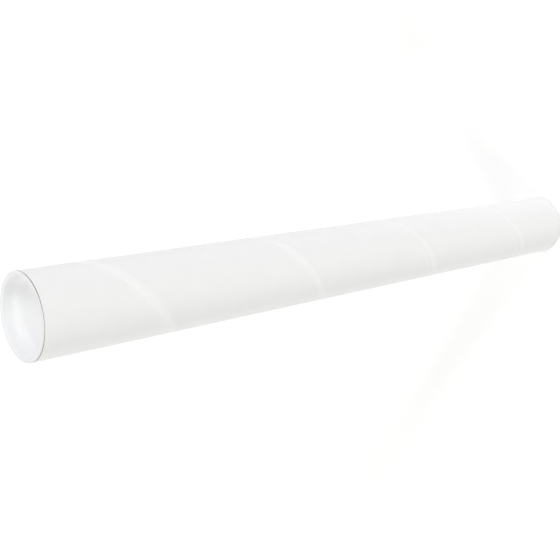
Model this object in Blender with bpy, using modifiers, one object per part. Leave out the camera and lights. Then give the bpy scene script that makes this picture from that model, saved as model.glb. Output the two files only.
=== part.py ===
"""Spiral-wound paperboard mailing tube, standing on one end, with a plastic cap pushed into each end.

Units are metres. +Z runs along the tube from the base cap to the top cap, and the origin is
the middle of the face that the tube stands on.
"""
import math

import bmesh
import bpy

# Tube
TUBE_LENGTH = 0.823
BORE_DIAMETER = 0.0762
WALL_THICKNESS = 0.0019

# Outer paper ply, a strip wound round the tube with its upper edge lapped over the turn above.
# The pitch is the length of tube that one turn covers, and widths are square to the ply's edge.
PLY_PITCH = 0.2006
LAP_WIDTH = 0.0095
LAP_HEIGHT = 0.00025
LAP_EDGE_RUN = 0.0006
LAP_FADE_RUN = 0.0035
LAP_BELOW_TOP = 0.0545

# Caps, each one moulding: a thin flange with a rounded rim, and a tapered cup with two gripping
# beads round it
FLANGE_THICKNESS = 0.0012
CUP_DEPTH = 0.0155
CUP_WALL = 0.0013
CUP_FLOOR = 0.0013
CUP_TAPER = 0.0006
MOUTH_ROUND = 0.0016
CORNER_ROUND = 0.0085
BEAD_HEIGHT = 0.0003
BEAD_WIDTH = 0.0014
FIRST_BEAD_DROP = 0.0031
BEAD_SPACING = 0.0028
BEAD_COUNT = 2

# Gaps between surfaces that touch on the real tube
FLANGE_GAP = 0.0003
BORE_GAP = 0.0003

# Facets round the circumference, and steps in each rounded corner and in the flange's rim
FACETS = 64
CORNER_STEPS = 5
RIM_STEPS = 4

SHARP_ANGLE = 35.0
MERGE_DISTANCE = 0.00001
CUT_MARGIN = 0.005

BORE_RADIUS = BORE_DIAMETER / 2
TUBE_RADIUS = BORE_RADIUS + WALL_THICKNESS
TUBE_BASE = FLANGE_THICKNESS + FLANGE_GAP
TUBE_TOP = TUBE_BASE + TUBE_LENGTH
OVERALL_LENGTH = TUBE_TOP + FLANGE_GAP + FLANGE_THICKNESS


def clear_scene():
    """Remove every object that the file opened with."""
    for existing in list(bpy.data.objects):
        bpy.data.objects.remove(existing, do_unlink=True)


def make_collection(name):
    """Add a collection to the scene."""
    collection = bpy.data.collections.new(name)
    bpy.context.scene.collection.children.link(collection)
    return collection


def make_material(name, colour, roughness):
    """Make a material for one kind of stock."""
    material = bpy.data.materials.new(name)
    material.use_nodes = True
    shader = material.node_tree.nodes["Principled BSDF"]
    shader.inputs["Base Color"].default_value = (*colour, 1.0)
    shader.inputs["Roughness"].default_value = roughness
    shader.inputs["Metallic"].default_value = 0.0
    return material


def make_profile(name, points, collection):
    """Make an open chain of edges in the XZ plane, from (radius, height) points."""
    mesh = bpy.data.meshes.new(name)
    corners = [(radius, 0.0, height) for radius, height in points]
    edges = [(i, i + 1) for i in range(len(points) - 1)]
    mesh.from_pydata(corners, edges, [])
    profile = bpy.data.objects.new(name, mesh)
    collection.objects.link(profile)
    return profile


def turn_profile(profile, turns=1, rise=0.0):
    """Turn a profile about Z, climbing by rise in each turn."""
    screw = profile.modifiers.new("turned", "SCREW")
    screw.axis = "Z"
    screw.angle = 2 * math.pi
    screw.iterations = turns
    screw.screw_offset = rise
    screw.steps = FACETS
    screw.render_steps = FACETS
    screw.use_merge_vertices = True
    screw.merge_threshold = MERGE_DISTANCE
    screw.use_smooth_shade = True


def arc(centre, radius, start, end, steps):
    """Points on an arc about (radius, height), with angles in degrees from outwards to upwards."""
    points = []
    for i in range(steps + 1):
        angle = math.radians(start + (end - start) * i / steps)
        points.append((centre[0] + radius * math.cos(angle), centre[1] + radius * math.sin(angle)))
    return points


def ply_profile(lowest_lap):
    """The ply's section along the tube over one turn, from one lapped edge down to the next.

    The lap stands proud by the ply's thickness. It has a cut edge at the top, a level stretch,
    and a fade at the bottom, where the ply comes down off the edge that it covers.
    """
    circumference = 2 * math.pi * TUBE_RADIUS
    stretch = math.hypot(circumference, PLY_PITCH) / circumference
    lap_top = lowest_lap + stretch * LAP_WIDTH / 2
    lap_foot = lowest_lap - stretch * LAP_WIDTH / 2
    proud = TUBE_RADIUS + LAP_HEIGHT
    return [
        (TUBE_RADIUS, lap_top),
        (proud, lap_top - stretch * LAP_EDGE_RUN),
        (proud, lap_foot + stretch * LAP_FADE_RUN),
        (TUBE_RADIUS, lap_foot),
        (TUBE_RADIUS, lap_top - PLY_PITCH),
    ]


def wind_skin(collection):
    """The tube's outer surface, a wound strip that runs past the tube's length at both ends."""
    top_lap = TUBE_TOP - LAP_BELOW_TOP
    turns_below = math.ceil((top_lap - TUBE_BASE) / PLY_PITCH) + 1
    turns_above = math.ceil(LAP_BELOW_TOP / PLY_PITCH) + 1
    profile = make_profile("wound_ply", ply_profile(top_lap - turns_below * PLY_PITCH), collection)
    turn_profile(profile, turns=turns_below + turns_above, rise=PLY_PITCH)
    bpy.context.view_layer.update()
    graph = bpy.context.evaluated_depsgraph_get()
    skin = bpy.data.meshes.new_from_object(profile.evaluated_get(graph))
    bpy.data.objects.remove(profile, do_unlink=True)
    return skin


def cut_square(solid, height, keep_above):
    """Cut a mesh at a height, keep one side, and close the cut with a flat end."""
    geometry = solid.verts[:] + solid.edges[:] + solid.faces[:]
    cut = bmesh.ops.bisect_plane(
        solid, geom=geometry, dist=MERGE_DISTANCE, plane_co=(0, 0, height), plane_no=(0, 0, 1),
        clear_inner=keep_above, clear_outer=not keep_above,
    )
    rim = [item for item in cut["geom_cut"] if isinstance(item, bmesh.types.BMEdge)]
    bmesh.ops.contextual_create(solid, geom=rim)


def make_bore_cutter(collection):
    """A rod of the bore's size, longer than the tube."""
    bpy.ops.mesh.primitive_cylinder_add(
        vertices=FACETS, radius=BORE_RADIUS, depth=TUBE_LENGTH + 2 * CUT_MARGIN,
        location=(0, 0, TUBE_BASE + TUBE_LENGTH / 2),
    )
    cutter = bpy.context.object
    cutter.name = "bore_cutter"
    cutter.hide_render = True
    cutter.display_type = "WIRE"
    for owner in list(cutter.users_collection):
        owner.objects.unlink(cutter)
    collection.objects.link(cutter)
    return cutter


def make_tube(collection, cutters, material):
    """The wound wall as one solid: its lapped skin cut square to length, then bored through."""
    solid = bmesh.new()
    solid.from_mesh(wind_skin(collection))
    bmesh.ops.remove_doubles(solid, verts=solid.verts[:], dist=MERGE_DISTANCE)
    cut_square(solid, TUBE_BASE, keep_above=True)
    cut_square(solid, TUBE_TOP, keep_above=False)
    bmesh.ops.recalc_face_normals(solid, faces=solid.faces[:])
    mesh = bpy.data.meshes.new("tube_body")
    solid.to_mesh(mesh)
    solid.free()
    mesh.materials.append(material)
    mesh.shade_smooth()
    mesh.set_sharp_from_angle(angle=math.radians(SHARP_ANGLE))
    tube = bpy.data.objects.new("tube_body", mesh)
    collection.objects.link(tube)
    bore = tube.modifiers.new("bore", "BOOLEAN")
    bore.operation = "DIFFERENCE"
    bore.object = make_bore_cutter(cutters)
    return tube


def bead_profile(drop, wall_at):
    """A low rounded ridge on the cup's outer wall, from its top edge to its bottom edge."""
    top = drop - BEAD_WIDTH / 2
    foot = drop + BEAD_WIDTH / 2
    crest = wall_at(drop) + BEAD_HEIGHT
    return [
        (wall_at(top), -top),
        (crest, -drop + BEAD_WIDTH / 6),
        (crest, -drop - BEAD_WIDTH / 6),
        (wall_at(foot), -foot),
    ]


def cap_profile():
    """Half the section of a cap, from the middle of its recess round to the middle of its underside.

    Heights are measured from the flange's outer face, which is at 0.
    """
    mouth_radius = BORE_RADIUS - BORE_GAP - BEAD_HEIGHT
    cup_end = CUP_DEPTH + CUP_FLOOR

    def wall_at(drop):
        """The cup's outer radius at a depth below the flange's face."""
        return mouth_radius - CUP_TAPER * (drop - FLANGE_THICKNESS) / (cup_end - FLANGE_THICKNESS)

    inner_floor = wall_at(CUP_DEPTH) - CUP_WALL - CORNER_ROUND
    inner_mouth = wall_at(MOUTH_ROUND) - CUP_WALL + MOUTH_ROUND
    outer_corner = CORNER_ROUND + CUP_WALL
    rim_round = FLANGE_THICKNESS / 2

    points = [(0.0, -CUP_DEPTH)]
    points += arc((inner_floor, CORNER_ROUND - CUP_DEPTH), CORNER_ROUND, -90, 0, CORNER_STEPS)
    points += arc((inner_mouth, -MOUTH_ROUND), MOUTH_ROUND, 180, 90, CORNER_STEPS)
    points += arc((TUBE_RADIUS - rim_round, -rim_round), rim_round, 90, -90, RIM_STEPS)
    points.append((mouth_radius, -FLANGE_THICKNESS))
    for i in range(BEAD_COUNT):
        points += bead_profile(FIRST_BEAD_DROP + i * BEAD_SPACING, wall_at)
    points += arc((wall_at(cup_end) - outer_corner, outer_corner - cup_end), outer_corner, 0, -90, CORNER_STEPS)
    points.append((0.0, -cup_end))
    return points


def make_cap(name, collection, material, height, upside_down):
    """A cap whose origin is on the tube's axis, at its flange's outer face."""
    cap = make_profile(name, cap_profile(), collection)
    cap.data.materials.append(material)
    turn_profile(cap)
    cap.location = (0, 0, height)
    cap.rotation_euler = (math.pi if upside_down else 0.0, 0, 0)
    return cap


def build():
    """Make the tube and its two caps."""
    clear_scene()
    parts = make_collection("mailing_tube")
    cutters = make_collection("cutters")
    white_board = make_material("white_board", (0.84, 0.84, 0.83), 0.7)
    white_plastic = make_material("white_plastic", (0.86, 0.86, 0.86), 0.35)
    tube = make_tube(parts, cutters, white_board)
    top_cap = make_cap("end_cap_top", parts, white_plastic, OVERALL_LENGTH, upside_down=False)
    base_cap = make_cap("end_cap_base", parts, white_plastic, 0.0, upside_down=True)
    for cap in (top_cap, base_cap):
        cap.parent = tube


build()
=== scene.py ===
"""Looks of the spiral-wound mailing tube and its two plastic end caps.

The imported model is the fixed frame. Each of its solids is replaced by a finer mesh of the same
form, with a procedural material: white paper over board for the tube, moulded plastic for the caps.
"""
import math

import bmesh
import bpy
from mathutils import Matrix, Vector


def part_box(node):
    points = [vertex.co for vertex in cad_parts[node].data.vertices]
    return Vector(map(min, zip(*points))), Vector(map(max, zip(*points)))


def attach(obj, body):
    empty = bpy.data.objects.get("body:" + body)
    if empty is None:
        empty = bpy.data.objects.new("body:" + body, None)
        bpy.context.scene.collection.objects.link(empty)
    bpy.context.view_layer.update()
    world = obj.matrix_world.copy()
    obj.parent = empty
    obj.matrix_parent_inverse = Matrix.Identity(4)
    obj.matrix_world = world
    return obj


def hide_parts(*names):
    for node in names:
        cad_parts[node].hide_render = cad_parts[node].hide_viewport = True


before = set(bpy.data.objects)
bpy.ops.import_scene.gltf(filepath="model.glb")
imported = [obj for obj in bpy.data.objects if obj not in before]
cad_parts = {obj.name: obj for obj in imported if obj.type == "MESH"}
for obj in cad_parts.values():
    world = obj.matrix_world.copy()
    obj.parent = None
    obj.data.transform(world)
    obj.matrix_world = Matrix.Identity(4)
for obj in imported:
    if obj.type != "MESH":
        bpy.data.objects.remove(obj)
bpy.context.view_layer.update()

# Sizes read from the frame, in metres
TUBE_LOW, TUBE_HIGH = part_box("tube_body")
CAP_LOW, CAP_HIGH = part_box("end_cap_top")
TUBE_BASE = TUBE_LOW.z
TUBE_TOP = TUBE_HIGH.z
OVERALL_LENGTH = CAP_HIGH.z
TUBE_RADIUS = CAP_HIGH.x
LAP_HEIGHT = TUBE_HIGH.x - TUBE_RADIUS
CAP_LENGTH = CAP_HIGH.z - CAP_LOW.z

# The tube's wall
WALL_THICKNESS = 0.0019
BORE_RADIUS = TUBE_RADIUS - WALL_THICKNESS

# Its wound outer ply, with widths square to the ply's edge
PLY_PITCH = 0.2006
LAP_WIDTH = 0.0095
LAP_EDGE_RUN = 0.0014
LAP_FADE_RUN = 0.0035
LAP_BELOW_TOP = 0.0545

# The same widths along the tube, where they are longer
CIRCUMFERENCE = 2 * math.pi * TUBE_RADIUS
STRETCH = math.hypot(CIRCUMFERENCE, PLY_PITCH) / CIRCUMFERENCE
LAP_ALONG = STRETCH * LAP_WIDTH
EDGE_ALONG = STRETCH * LAP_EDGE_RUN
FADE_ALONG = STRETCH * LAP_FADE_RUN

# The tube's cut ends: their worn edge, how much nearer the flange they are on the whole, and a wave
# in each that is furthest from the flange at END_WAVE_TURN and at every third of a turn from there
END_EDGE_ROUND = 0.0001
END_SHIFT = 0.0001
END_WAVE = 0.00016
END_WAVE_LOBES = 3
END_WAVE_TURN = math.radians(-42)

# Inner plies of the board: their pitch, the width of their joint's shadow and their thickness
BOARD_PITCH = 0.15
BOARD_JOINT_WIDTH = 0.0008
BOARD_PLY = 0.00045

# The caps' section
FLANGE_THICKNESS = 0.0012
CUP_WALL = 0.0013
CUP_FLOOR = 0.0013
CUP_TAPER = 0.0006
CUP_DEPTH = CAP_LENGTH - CUP_FLOOR
MOUTH_ROUND = 0.0016
CORNER_ROUND = 0.0085
BEAD_HEIGHT = 0.0003
BEAD_WIDTH = 0.0014
FIRST_BEAD_DROP = 0.0031
BEAD_SPACING = 0.0028
BEAD_COUNT = 2
BORE_GAP = 0.0003

# Mesh fineness
STEPS_ROUND = 256
ARC_STEPS = 12
EDGE_STEPS = 6
MERGE_DISTANCE = 0.000001
SHARP_ANGLE = 40.0

# Colours
PAPER = (0.861, 0.86, 0.864)
LAPPED_PAPER = (0.891, 0.89, 0.894)
DARK_BOARD = (0.27, 0.235, 0.19)
PALE_BOARD = (0.38, 0.335, 0.275)
PLASTIC = (0.844, 0.847, 0.861)
# Painted shade on the caps' flange face, darker than their plastic
FLANGE_PAINTED_SHADE = (0.762, 0.764, 0.767)
FLOOR_GREY = (0.8, 0.8, 0.8)

# How far the paper's mottle lightens or darkens it, and the factors on the board's colour at its
# spiral joint and from the edge to the middle of a ply
PAPER_MOTTLE = 0.006
JOINT_SHADE = 0.55
PLY_EDGE_SHADE = 0.72
PLY_MIDDLE_SHADE = 1.06

# Ranges over the plastic: factor on its colour, and roughness
PLASTIC_CLOUD = (0.992, 1.008)
PLASTIC_ROUGHNESS = (0.34, 0.42)

# The lap's paler tone across a stretch that runs a little past both its edges: share of the way
# from above its cut edge to below its fade, and strength, which is less at the tube's base
LAP_TONE_BEFORE = 0.005
LAP_TONE_AFTER = 0.004
LAP_TONE = ((0.02, 0.0), (0.17, 0.55), (0.42, 1.0), (0.62, 0.92), (0.76, 0.55), (0.98, 0.0))
LAP_TONE_AT_BASE = 0.55
LAP_TONE_AT_TOP = 1.1

# Distances from the axis where the painted shade on the flange's face starts, is full, wanes and ends at the
# rim, which keeps the plain plastic colour as a painted highlight
FLANGE_SHADE_FROM = BORE_RADIUS - 0.0012
FLANGE_SHADE_FULL = BORE_RADIUS - 0.0002
FLANGE_SHADE_WANES = TUBE_RADIUS - 0.0006
FLANGE_SHADE_ENDS = TUBE_RADIUS - 0.0002

# Middle stretch of a noise texture's values
NOISE_LOW = 0.3
NOISE_HIGH = 0.7

# Place of the board among the tube's two materials; the paper is at 0
BOARD_PLACE = 1

# Photo's camera, in tube radii from the middle of the top cap's outer face
CAMERA_OUT = 7.815
CAMERA_ASIDE = 16.975
CAMERA_UP_SHIFT = 1.890
CAMERA_RIGHT = Vector((-0.1023, -0.6727, -0.7328))
CAMERA_UP = Vector((0.9904, 0.0, -0.1383))
CAMERA_LENS = 54.39
SENSOR_WIDTH = 36.0
NEAREST_SEEN = 0.01

# Distant soft lights: degrees from +X towards the camera's side, degrees above the cap's face,
# strength and colour
LIGHT_WIDTH = 14.0
NEUTRAL = (1.0, 1.0, 1.0)
WARM = (1.0, 1.0, 0.92)
DISTANT_LIGHTS = (
    ("key", 40, 25, 1.11, NEUTRAL),
    ("high_side", 142, 60, 0.35, WARM),
    ("mid_side", 148, 42, 0.29, WARM),
    ("low_side", 150, 25, 0.21, WARM),
    ("under", 226, 25, 0.24, WARM),
    ("low_under", 206, 8, 0.18, WARM),
    ("low_rear", 270, 8, 0.25, NEUTRAL),
    ("high_rear", 288, 60, 0.2, NEUTRAL),
)

# Lamps near the base end: place, width in metres and watts
BASE_LAMPS = (
    ("base_fill", (1.0, 0.0, 0.12), 0.5, 0.1),
    ("base_end", (0.32, 0.05, 0.02), 0.15, 0.12),
)

# Light from the pale surround, and what brings the floor up to white where it's seen
SURROUND = 0.595
FLOOR_LIFT = 0.25
FLOOR_WIDTH = 24


def new_material(name):
    """A material, its node tree and its Principled shader."""
    material = bpy.data.materials.new(name)
    material.use_nodes = True
    tree = material.node_tree
    return material, tree, tree.nodes["Principled BSDF"]


def add_node(tree, kind, inputs=None, **settings):
    """Add a node; settings are its properties. An input is a socket to link from, or a value."""
    node = tree.nodes.new(kind)
    for key, value in settings.items():
        setattr(node, key, value)
    for key, value in (inputs or {}).items():
        if isinstance(value, bpy.types.NodeSocket):
            tree.links.new(value, node.inputs[key])
        else:
            node.inputs[key].default_value = value
    return node


def add_math(tree, operation, first, second):
    """A Math node's result."""
    return add_node(tree, "ShaderNodeMath", {0: first, 1: second}, operation=operation).outputs["Value"]


def add_range(tree, value, low, high, low_result, high_result, interpolation="LINEAR"):
    """A Map Range node's result."""
    node = add_node(
        tree, "ShaderNodeMapRange",
        {"Value": value, "From Min": low, "From Max": high, "To Min": low_result, "To Max": high_result},
        interpolation_type=interpolation,
    )
    return node.outputs["Result"]


def add_noise(tree, place, scale, detail, roughness=0.5):
    """A noise texture's value."""
    inputs = {"Vector": place, "Scale": scale, "Detail": detail, "Roughness": roughness}
    return add_node(tree, "ShaderNodeTexNoise", inputs).outputs["Fac"]


def add_noise_range(tree, noise, low_result, high_result):
    """A noise texture's value, spread between two results."""
    return add_range(tree, noise, NOISE_LOW, NOISE_HIGH, low_result, high_result)


def add_mix(tree, factor, first, second):
    """A mix of two colours."""
    inputs = {"Factor": factor, "A": (*first, 1), "B": (*second, 1)}
    return add_node(tree, "ShaderNodeMix", inputs, data_type="RGBA").outputs["Result"]


def scale_colour(tree, colour, factor):
    """A colour made brighter or darker by a factor."""
    inputs = {0: colour, "Scale": factor}
    return add_node(tree, "ShaderNodeVectorMath", inputs, operation="SCALE").outputs["Vector"]


def add_bump(tree, shader, height, strength, distance):
    """Give a shader its bump."""
    inputs = {"Height": height, "Strength": strength, "Distance": distance}
    tree.links.new(add_node(tree, "ShaderNodeBump", inputs).outputs["Normal"], shader.inputs["Normal"])


def object_place(tree):
    """A point's place on its own object."""
    return add_node(tree, "ShaderNodeTexCoord").outputs["Object"]


def split(tree, vector):
    """A vector's X, Y and Z."""
    return add_node(tree, "ShaderNodeSeparateXYZ", {0: vector}).outputs


def distance_from_axis(tree, place):
    """How far a place is from the tube's axis."""
    flat = add_node(tree, "ShaderNodeVectorMath", {0: place, 1: (1, 1, 0)}, operation="MULTIPLY")
    length = add_node(tree, "ShaderNodeVectorMath", {0: flat.outputs["Vector"]}, operation="LENGTH")
    return length.outputs["Value"]


def paper_material():
    """White paper ply: whiter where it lies double at the lap, with a fine fibre grain."""
    material, tree, shader = new_material("white_paper")
    place = object_place(tree)
    strip = add_node(tree, "ShaderNodeUVMap", uv_map="strip")
    across = split(tree, strip.outputs["UV"])["Y"]
    share = add_range(tree, across, -LAP_TONE_BEFORE, LAP_ALONG + LAP_TONE_AFTER, 0.0, 1.0)
    lap = add_node(tree, "ShaderNodeValToRGB", {"Fac": share})
    stops = lap.color_ramp.elements
    lap.color_ramp.interpolation = "EASE"
    for i, (position, value) in enumerate(LAP_TONE):
        stop = stops[i] if i < len(stops) else stops.new(position)
        stop.position = position
        stop.color = (value, value, value, 1)
    height = split(tree, place)["Z"]
    strength = add_range(tree, height, TUBE_BASE, TUBE_TOP, LAP_TONE_AT_BASE, LAP_TONE_AT_TOP)
    doubled = add_math(tree, "MULTIPLY", lap.outputs["Color"], strength)
    colour = add_mix(tree, doubled, PAPER, LAPPED_PAPER)
    mottle = add_noise(tree, place, scale=45.0, detail=4.0, roughness=0.55)
    tone = add_noise_range(tree, mottle, -PAPER_MOTTLE, PAPER_MOTTLE)
    toned = add_node(tree, "ShaderNodeVectorMath", {0: colour, 1: tone}, operation="ADD")
    tree.links.new(toned.outputs["Vector"], shader.inputs["Base Color"])
    fibres = add_noise(tree, place, scale=1400.0, detail=3.0, roughness=0.6)
    add_bump(tree, shader, fibres, strength=0.12, distance=0.0002)
    shader.inputs["Roughness"].default_value = 0.62
    shader.inputs["Specular IOR Level"].default_value = 0.15
    return material


def board_material():
    """Raw grey board: the inner ply's spiral joint down the bore, and the plies' edges at the ends."""
    material, tree, shader = new_material("raw_board")
    place = object_place(tree)
    grain = add_noise(tree, place, scale=300.0, detail=5.0, roughness=0.6)
    stock = add_mix(tree, grain, DARK_BOARD, PALE_BOARD)
    x, y, z = split(tree, place)
    climb = add_math(tree, "MULTIPLY", add_math(tree, "ARCTAN2", y, x), BOARD_PITCH / (2 * math.pi))
    from_joint = add_math(tree, "PINGPONG", add_math(tree, "SUBTRACT", z, climb), BOARD_PITCH / 2)
    joint = add_range(tree, from_joint, 0.0, BOARD_JOINT_WIDTH, JOINT_SHADE, 1.0, "SMOOTHSTEP")
    layer = add_math(tree, "PINGPONG", distance_from_axis(tree, place), BOARD_PLY / 2)
    plies = add_range(tree, layer, 0.0, BOARD_PLY / 2, PLY_EDGE_SHADE, PLY_MIDDLE_SHADE)
    toned = scale_colour(tree, stock, add_math(tree, "MULTIPLY", joint, plies))
    tree.links.new(toned, shader.inputs["Base Color"])
    add_bump(tree, shader, grain, strength=0.3, distance=0.0003)
    shader.inputs["Roughness"].default_value = 0.85
    return material


def plastic_material():
    """White moulded polyethylene, with painted shade darkening its flange's face; the flange's rim is left
    pale as a painted highlight.
    """
    material, tree, shader = new_material("white_polyethylene")
    place = object_place(tree)
    radius = distance_from_axis(tree, place)
    # Painted shade on the flange's face, fading out before the rim, which stays pale as a painted highlight
    inner = add_range(tree, radius, FLANGE_SHADE_FROM, FLANGE_SHADE_FULL, 0.0, 1.0, "SMOOTHSTEP")
    outer = add_range(tree, radius, FLANGE_SHADE_WANES, FLANGE_SHADE_ENDS, 1.0, 0.0, "SMOOTHSTEP")
    colour = add_mix(tree, add_math(tree, "MULTIPLY", inner, outer), PLASTIC, FLANGE_PAINTED_SHADE)
    cloud = add_noise(tree, place, scale=60.0, detail=3.0)
    toned = scale_colour(tree, colour, add_noise_range(tree, cloud, *PLASTIC_CLOUD))
    tree.links.new(toned, shader.inputs["Base Color"])
    grain = add_noise(tree, place, scale=900.0, detail=2.0)
    add_bump(tree, shader, grain, strength=0.08, distance=0.0002)
    tree.links.new(add_noise_range(tree, cloud, *PLASTIC_ROUGHNESS), shader.inputs["Roughness"])
    shader.inputs["Specular IOR Level"].default_value = 0.3
    return material


def strip_rows():
    """(distance across the ply along the tube, height above the tube) from the lap's edge down."""
    rows = []
    for i in range(EDGE_STEPS + 1):
        share = i / EDGE_STEPS
        rows.append((EDGE_ALONG * share, LAP_HEIGHT * (1 - math.cos(math.pi * share)) / 2))
    rows.append((2 * EDGE_ALONG, LAP_HEIGHT))
    for i in range(ARC_STEPS + 1):
        share = i / ARC_STEPS
        height = LAP_HEIGHT * (1 + math.cos(math.pi * share)) / 2
        rows.append((LAP_ALONG - FADE_ALONG * (1 - share), height))
    rows.append((LAP_ALONG + EDGE_ALONG, 0.0))
    rows.append((PLY_PITCH - EDGE_ALONG, 0.0))
    rows.append((PLY_PITCH, 0.0))
    return rows


def wind_strip(mesh):
    """Wind the outer ply as one strip that runs past both ends, with its own UV map."""
    rows = strip_rows()
    lap_top = TUBE_TOP - LAP_BELOW_TOP + LAP_ALONG / 2
    turns_below = math.ceil((lap_top - TUBE_BASE) / PLY_PITCH) + 1
    turns_above = math.ceil(LAP_BELOW_TOP / PLY_PITCH) + 1
    strip = mesh.loops.layers.uv.new("strip")
    columns = []
    for step in range((turns_below + turns_above) * STEPS_ROUND + 1):
        turn = step / STEPS_ROUND - turns_below
        angle = 2 * math.pi * turn
        column = []
        for across, height in rows:
            radius = TUBE_RADIUS + height
            z = lap_top + PLY_PITCH * turn - across
            column.append(mesh.verts.new((radius * math.cos(angle), radius * math.sin(angle), z)))
        columns.append((turn * CIRCUMFERENCE * STRETCH, column))
    for (along, column), (next_along, next_column) in zip(columns, columns[1:]):
        for i in range(len(rows) - 1):
            face = mesh.faces.new((column[i], column[i + 1], next_column[i + 1], next_column[i]))
            face.smooth = True
            places = (
                (along, rows[i][0]), (along, rows[i + 1][0]),
                (next_along, rows[i + 1][0]), (next_along, rows[i][0]),
            )
            for loop, place in zip(face.loops, places):
                loop[strip].uv = place
    bmesh.ops.remove_doubles(mesh, verts=mesh.verts[:], dist=MERGE_DISTANCE)


def cut_at(mesh, height, **sides):
    """Cut a mesh at a height, and return the vertices and edges of the cut."""
    cut = bmesh.ops.bisect_plane(
        mesh, geom=mesh.verts[:] + mesh.edges[:] + mesh.faces[:], dist=MERGE_DISTANCE,
        plane_co=(0, 0, height), plane_no=(0, 0, 1), **sides,
    )
    return cut["geom_cut"]


def cut_end(mesh, height, keep_above):
    """Cut the strip square at one end, wear its edge down to the board, and return the rim."""
    inward = END_EDGE_ROUND if keep_above else -END_EDGE_ROUND
    cut_at(mesh, height + inward)
    cut = cut_at(mesh, height, clear_inner=keep_above, clear_outer=not keep_above)
    for item in cut:
        if isinstance(item, bmesh.types.BMVert):
            shrink = 1 - END_EDGE_ROUND / item.co.xy.length
            item.co.x *= shrink
            item.co.y *= shrink
    rim = [item for item in cut if isinstance(item, bmesh.types.BMEdge)]
    for face in {face for edge in rim for face in edge.link_faces}:
        face.material_index = BOARD_PLACE
    return rim


def add_bore(mesh):
    """Add the bore's wall, and return its edges."""
    bore = bmesh.ops.create_cone(
        mesh, cap_ends=False, segments=STEPS_ROUND, radius1=BORE_RADIUS, radius2=BORE_RADIUS,
        depth=TUBE_TOP - TUBE_BASE, matrix=Matrix.Translation((0, 0, (TUBE_BASE + TUBE_TOP) / 2)),
    )
    for face in {face for vertex in bore["verts"] for face in vertex.link_faces}:
        face.material_index = BOARD_PLACE
        face.smooth = True
    return {edge for vertex in bore["verts"] for edge in vertex.link_edges}


def close_end(mesh, height, rim, bore_edges):
    """Fill the board's flat end between the outer rim and the bore."""
    inner = [edge for edge in bore_edges if all(abs(v.co.z - height) < MERGE_DISTANCE for v in edge.verts)]
    filled = bmesh.ops.triangle_fill(mesh, use_beauty=True, use_dissolve=False, edges=rim + inner)
    for item in filled["geom"]:
        if isinstance(item, bmesh.types.BMFace):
            item.material_index = BOARD_PLACE


def wave_ends(mesh):
    """Give both cut ends their slight wave."""
    for vertex in mesh.verts:
        for height, outward in ((TUBE_BASE, -1), (TUBE_TOP, 1)):
            if abs(vertex.co.z - height) < END_EDGE_ROUND + MERGE_DISTANCE:
                turn = math.atan2(vertex.co.y, vertex.co.x) - END_WAVE_TURN
                vertex.co.z += outward * (END_SHIFT - END_WAVE * math.cos(END_WAVE_LOBES * turn))


def add_piece(name, mesh, materials):
    """Make an object from a finished mesh."""
    bmesh.ops.recalc_face_normals(mesh, faces=mesh.faces[:])
    data = bpy.data.meshes.new(name)
    mesh.to_mesh(data)
    mesh.free()
    for material in materials:
        data.materials.append(material)
    data.set_sharp_from_angle(angle=math.radians(SHARP_ANGLE))
    piece = bpy.data.objects.new(name, data)
    bpy.context.scene.collection.objects.link(piece)
    return piece


def tube_piece(paper, board):
    """The wound tube: its lapped ply as one strip, cut square at both ends, with its bore."""
    mesh = bmesh.new()
    wind_strip(mesh)
    base_rim = cut_end(mesh, TUBE_BASE, keep_above=True)
    top_rim = cut_end(mesh, TUBE_TOP, keep_above=False)
    bore_edges = add_bore(mesh)
    close_end(mesh, TUBE_BASE, base_rim, bore_edges)
    close_end(mesh, TUBE_TOP, top_rim, bore_edges)
    wave_ends(mesh)
    return add_piece("wound_tube", mesh, (paper, board))


def arc(centre, radius, start, end, steps):
    """Points on an arc about (radius, height), with angles in degrees from outwards to upwards."""
    points = []
    for i in range(steps + 1):
        angle = math.radians(start + (end - start) * i / steps)
        points.append((centre[0] + radius * math.cos(angle), centre[1] + radius * math.sin(angle)))
    return points


def cap_profile():
    """Half the section of a cap, from the middle of its recess round to the middle of its underside."""
    mouth_radius = BORE_RADIUS - BORE_GAP - BEAD_HEIGHT
    cup_end = CUP_DEPTH + CUP_FLOOR

    def wall_at(drop):
        """The cup's outer radius at a depth below the flange's face."""
        return mouth_radius - CUP_TAPER * (drop - FLANGE_THICKNESS) / (cup_end - FLANGE_THICKNESS)

    inner_floor = wall_at(CUP_DEPTH) - CUP_WALL - CORNER_ROUND
    inner_mouth = wall_at(MOUTH_ROUND) - CUP_WALL + MOUTH_ROUND
    outer_corner = CORNER_ROUND + CUP_WALL
    rim_round = FLANGE_THICKNESS / 2

    points = [(0.0, -CUP_DEPTH)]
    points += arc((inner_floor, CORNER_ROUND - CUP_DEPTH), CORNER_ROUND, -90, 0, ARC_STEPS)
    points += arc((inner_mouth, -MOUTH_ROUND), MOUTH_ROUND, 180, 90, ARC_STEPS)
    points += arc((TUBE_RADIUS - rim_round, -rim_round), rim_round, 90, -90, 2 * EDGE_STEPS)
    points.append((mouth_radius, -FLANGE_THICKNESS))
    for i in range(BEAD_COUNT):
        middle = FIRST_BEAD_DROP + i * BEAD_SPACING
        for step in range(EDGE_STEPS + 1):
            share = step / EDGE_STEPS
            drop = middle + BEAD_WIDTH * (share - 0.5)
            points.append((wall_at(drop) + BEAD_HEIGHT * math.sin(math.pi * share), -drop))
    points += arc((wall_at(cup_end) - outer_corner, outer_corner - cup_end), outer_corner, 0, -90, ARC_STEPS)
    points.append((0.0, -cup_end))
    return points


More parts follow.
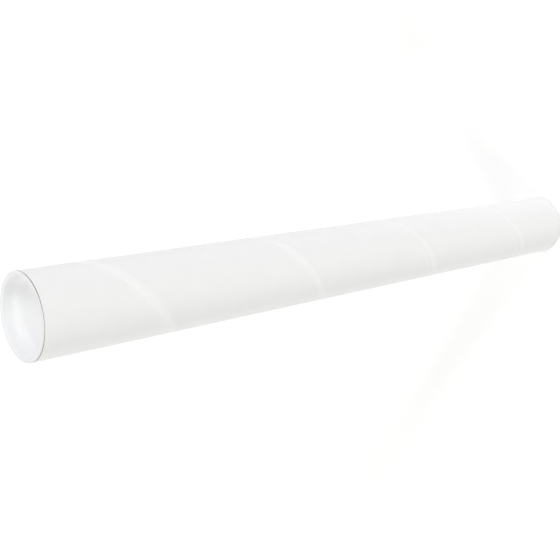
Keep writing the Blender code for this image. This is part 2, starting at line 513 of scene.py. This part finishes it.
def cap_piece(name, plastic, height, upside_down):
    """A cap turned from its section, with its flange's face at a height."""
    mesh = bmesh.new()
    rings = []
    for radius, z in cap_profile():
        if radius == 0.0:
            rings.append([mesh.verts.new((0, 0, z))] * STEPS_ROUND)
            continue
        ring = []
        for step in range(STEPS_ROUND):
            angle = 2 * math.pi * step / STEPS_ROUND
            ring.append(mesh.verts.new((radius * math.cos(angle), radius * math.sin(angle), z)))
        rings.append(ring)
    for ring, next_ring in zip(rings, rings[1:]):
        for step in range(STEPS_ROUND):
            after = (step + 1) % STEPS_ROUND
            corners = (ring[step], ring[after], next_ring[after], next_ring[step])
            face = mesh.faces.new(list(dict.fromkeys(corners)))
            face.smooth = True
    piece = add_piece(name, mesh, (plastic,))
    piece.location = (0, 0, height)
    piece.rotation_euler = (math.pi if upside_down else 0.0, 0, 0)
    return piece


def seen_directly(tree):
    """1 for rays that the eye follows: from the camera, through clear stuff or off a gloss."""
    path = add_node(tree, "ShaderNodeLightPath")
    value = path.outputs["Is Camera Ray"]
    for kind in ("Is Glossy Ray", "Is Transmission Ray"):
        value = add_math(tree, "MAXIMUM", value, path.outputs[kind])
    return value


def add_camera():
    """The photo's view: past the top cap, with the tube's length running away to the right."""
    data = bpy.data.cameras.new("photo_camera")
    data.lens = CAMERA_LENS
    data.sensor_width = SENSOR_WIDTH
    data.clip_start = NEAREST_SEEN
    camera = bpy.data.objects.new("photo_camera", data)
    bpy.context.scene.collection.objects.link(camera)
    up = (CAMERA_UP - CAMERA_UP.project(CAMERA_RIGHT)).normalized()
    back = CAMERA_RIGHT.cross(up).normalized()
    turn = Matrix((CAMERA_RIGHT.normalized(), up, back)).transposed()
    place = Vector((
        CAMERA_UP_SHIFT * TUBE_RADIUS,
        -CAMERA_ASIDE * TUBE_RADIUS,
        OVERALL_LENGTH + CAMERA_OUT * TUBE_RADIUS,
    ))
    camera.matrix_world = Matrix.Translation(place) @ turn.to_4x4()
    bpy.context.scene.camera = camera


def add_floor():
    """A plain white floor that still takes the tube's soft shadow."""
    bpy.ops.mesh.primitive_plane_add(size=FLOOR_WIDTH)
    floor = bpy.context.object
    floor.name = "floor"
    material, tree, shader = new_material("floor_white")
    shader.inputs["Base Color"].default_value = (*FLOOR_GREY, 1)
    shader.inputs["Roughness"].default_value = 0.9
    shader.inputs["Specular IOR Level"].default_value = 0.0
    lift = add_math(tree, "MULTIPLY", seen_directly(tree), FLOOR_LIFT)
    glow = add_node(tree, "ShaderNodeEmission", {"Strength": lift})
    both = add_node(tree, "ShaderNodeAddShader", {0: shader.outputs["BSDF"], 1: glow.outputs["Emission"]})
    tree.links.new(both.outputs["Shader"], tree.nodes["Material Output"].inputs["Surface"])
    floor.data.materials.append(material)


def add_surround():
    """A pale world, white where it's seen directly."""
    world = bpy.data.worlds.new("surround")
    bpy.context.scene.world = world
    world.use_nodes = True
    tree = world.node_tree
    background = tree.nodes["Background"]
    background.inputs["Color"].default_value = (1, 1, 1, 1)
    strength = add_range(tree, seen_directly(tree), 0.0, 1.0, SURROUND, 1.0)
    tree.links.new(strength, background.inputs["Strength"])


def add_lamp(name, lamp, place, aim):
    """Put a lamp in the scene, facing a point."""
    holder = bpy.data.objects.new(name, lamp)
    bpy.context.scene.collection.objects.link(holder)
    holder.location = place
    holder.rotation_mode = "QUATERNION"
    holder.rotation_quaternion = (aim - place).to_track_quat("-Z", "Y")


def add_lamps():
    """A soft key from the +X side, past the top cap, with weaker lights round it."""
    top = Vector((0, 0, OVERALL_LENGTH))
    for name, azimuth, elevation, strength, colour in DISTANT_LIGHTS:
        lamp = bpy.data.lights.new(name, "SUN")
        lamp.angle = math.radians(LIGHT_WIDTH)
        lamp.energy = strength
        lamp.color = colour
        turn = math.radians(azimuth)
        climb = math.radians(elevation)
        toward = Vector((
            math.cos(turn) * math.cos(climb), -math.sin(turn) * math.cos(climb), math.sin(climb),
        ))
        add_lamp(name, lamp, top + toward, top)
    for name, place, size, energy in BASE_LAMPS:
        lamp = bpy.data.lights.new(name, "AREA")
        lamp.size = size
        lamp.energy = energy
        add_lamp(name, lamp, Vector(place), Vector((0, 0, place[2])))


def build():
    """Make the pieces, and the stage round them."""
    paper = paper_material()
    board = board_material()
    plastic = plastic_material()
    tube = tube_piece(paper, board)
    top_cap = cap_piece("top_plug", plastic, OVERALL_LENGTH, upside_down=False)
    base_cap = cap_piece("base_plug", plastic, 0.0, upside_down=True)
    for piece, body, node, slot in (
        (tube, "tube", "tube_body", "white_board"),
        (top_cap, "top_cap", "end_cap_top", "white_plastic"),
        (base_cap, "base_cap", "end_cap_base", "white_plastic"),
    ):
        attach(piece, body)
        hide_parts(node)
    add_camera()
    add_floor()
    add_surround()
    add_lamps()
    bpy.context.scene.view_settings.view_transform = "Standard"


build()
